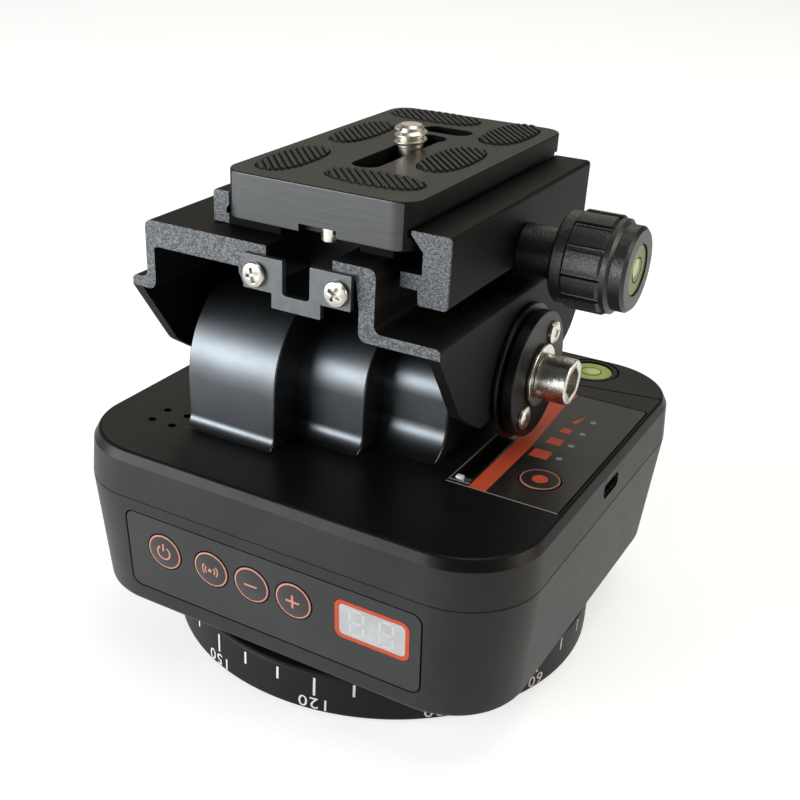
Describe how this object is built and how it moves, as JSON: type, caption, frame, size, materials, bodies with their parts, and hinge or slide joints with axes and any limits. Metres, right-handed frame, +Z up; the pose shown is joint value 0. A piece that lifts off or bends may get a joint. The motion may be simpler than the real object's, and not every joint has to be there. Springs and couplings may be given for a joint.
{
  "type": "remote pan tilt head",
  "caption": "Battery powered pan tilt head: square housing that turns on a round dial base, with a tilting bracket, a clamp and a quick release plate for a camera.",
  "frame": {"origin": "on the pan axis, on the underside of the dial base", "axes": "+Z up along the pan axis, +X to the right of the front panel and along the tilt axis, -Y to the front"},
  "size_m": [0.097, 0.097, 0.105],
  "materials": {
    "casing": "fine matte texture, black",
    "dial_plastic": "matte black moulding",
    "black_metal": "satin black, sand textured on cut faces",
    "plate_metal": "black anodised, satin",
    "stamped": "grey, stamped",
    "nickel": "bright nickel plate",
    "steel": "machined",
    "rubber": "ribbed, black",
    "gloss": "smooth black film",
    "label_film": "satin black printed film",
    "lime": "clear vial with lime green liquid",
    "pale_plastic": "pale grey",
    "circuit": "circuit board",
    "brass": "machined",
    "cell_wrap": "shrink wrap"
  },
  "bodies": {
    "base": {"dial_base": "dial_plastic", "mount_plate": "black_metal", "tripod_bush": "steel", "pan_axle": "steel", "pan_gear": "brass", "axle_nut": "steel"},
    "housing": {"lower_shell": "casing", "top_cover": "casing", "front_panel": "gloss", "display_window": "gloss", "button_board": "circuit", "top_label": "label_film", "level_ring": "casing", "level_vial": "lime", "charge_port": "steel", "control_board": "circuit", "buzzer": "casing", "pan_bearing": "pale_plastic", "pan_motor_mount": "steel", "pan_motor": "steel", "battery": "cell_wrap", "tilt_motor": "steel", "tilt_gearbox": "steel", "tilt_bush": "brass", "pivot_disc": "steel"},
    "pinion": {"pan_pinion": "brass"},
    "power_key": {"power_button": "casing"},
    "channel_key": {"channel_button": "casing"},
    "minus_key": {"minus_button": "casing"},
    "plus_key": {"plus_button": "casing"},
    "record_key": {"record_button": "label_film"},
    "mode_switch": {"mode_slider": "pale_plastic"},
    "bracket": {"tilt_bracket": "black_metal", "stop_plate": "stamped", "stop_plate_screw_left": "nickel", "stop_plate_screw_right": "nickel", "tilt_hub": "black_metal", "hub_screw_low": "nickel", "hub_screw_high": "nickel", "tilt_shaft": "steel", "hub_washer": "nickel", "hub_bolt": "nickel", "pivot_bolt": "steel", "clamp_base": "black_metal"},
    "jaw": {"movable_jaw": "black_metal", "jaw_pin_front": "steel", "jaw_pin_back": "steel"},
    "knob": {"clamp_knob": "black_metal", "clamp_screw": "steel", "knob_level_vial": "lime"},
    "plate": {"quick_release_plate": "plate_metal", "rubber_pad_1": "rubber", "rubber_pad_2": "rubber", "rubber_pad_3": "rubber", "rubber_pad_4": "rubber", "rubber_pad_5": "rubber", "rubber_pad_6": "rubber", "stop_screw": "nickel"},
    "screw_carrier": {"screw_washer": "steel"},
    "screw": {"camera_screw": "steel"}
  },
  "joints": [
    {"name": "pan", "type": "hinge", "parent": "base", "child": "housing", "pos_m": [0, 0, 0.016], "axis": [0, 0, 1], "continuous": true},
    {"name": "pinion_spin", "type": "hinge", "parent": "housing", "child": "pinion", "pos_m": [0, -0.0192, 0.02], "axis": [0, 0, 1], "continuous": true},
    {"name": "tilt", "type": "hinge", "parent": "housing", "child": "bracket", "pos_m": [0, 0, 0.0616], "axis": [1, 0, 0], "range_deg": [-15, 15]},
    {"name": "power_press", "type": "slide", "parent": "housing", "child": "power_key", "axis": [0, 0.9978, 0.0663], "range_m": [0, 0.0004], "stiffness_N_per_m": 400},
    {"name": "channel_press", "type": "slide", "parent": "housing", "child": "channel_key", "axis": [0, 0.9978, 0.0663], "range_m": [0, 0.0004], "stiffness_N_per_m": 400},
    {"name": "minus_press", "type": "slide", "parent": "housing", "child": "minus_key", "axis": [0, 0.9978, 0.0663], "range_m": [0, 0.0004], "stiffness_N_per_m": 400},
    {"name": "plus_press", "type": "slide", "parent": "housing", "child": "plus_key", "axis": [0, 0.9978, 0.0663], "range_m": [0, 0.0004], "stiffness_N_per_m": 400},
    {"name": "record_press", "type": "slide", "parent": "housing", "child": "record_key", "axis": [0, 0, -1], "range_m": [0, 0.0004], "stiffness_N_per_m": 400},
    {"name": "mode_slide", "type": "slide", "parent": "housing", "child": "mode_switch", "axis": [0, 1, 0], "range_m": [0, 0.016]},
    {"name": "knob_turn", "type": "hinge", "parent": "jaw", "child": "knob", "pos_m": [0.04, 0, 0.0856], "axis": [1, 0, 0], "range_deg": [0, 1440]},
    {"name": "jaw_slide", "type": "slide", "parent": "bracket", "child": "jaw", "axis": [1, 0, 0], "range_m": [0, 0.004]},
    {"name": "plate_slide", "type": "slide", "parent": "bracket", "child": "plate", "axis": [0, 1, 0], "range_m": [-0.01, 0.01]},
    {"name": "screw_slide", "type": "slide", "parent": "plate", "child": "screw_carrier", "axis": [0, 1, 0], "range_m": [-0.0155, 0.0085]},
    {"name": "screw_turn", "type": "hinge", "parent": "screw_carrier", "child": "screw", "pos_m": [0, 0.0018, 0.1], "axis": [0, 0, 1], "continuous": true}
  ],
  "couplings": [
    {"joint": "pinion_spin", "follows": "pan", "ratio": 3},
    {"joint": "knob_turn", "follows": "jaw_slide", "rad_per_m": 6283.2}
  ]
}
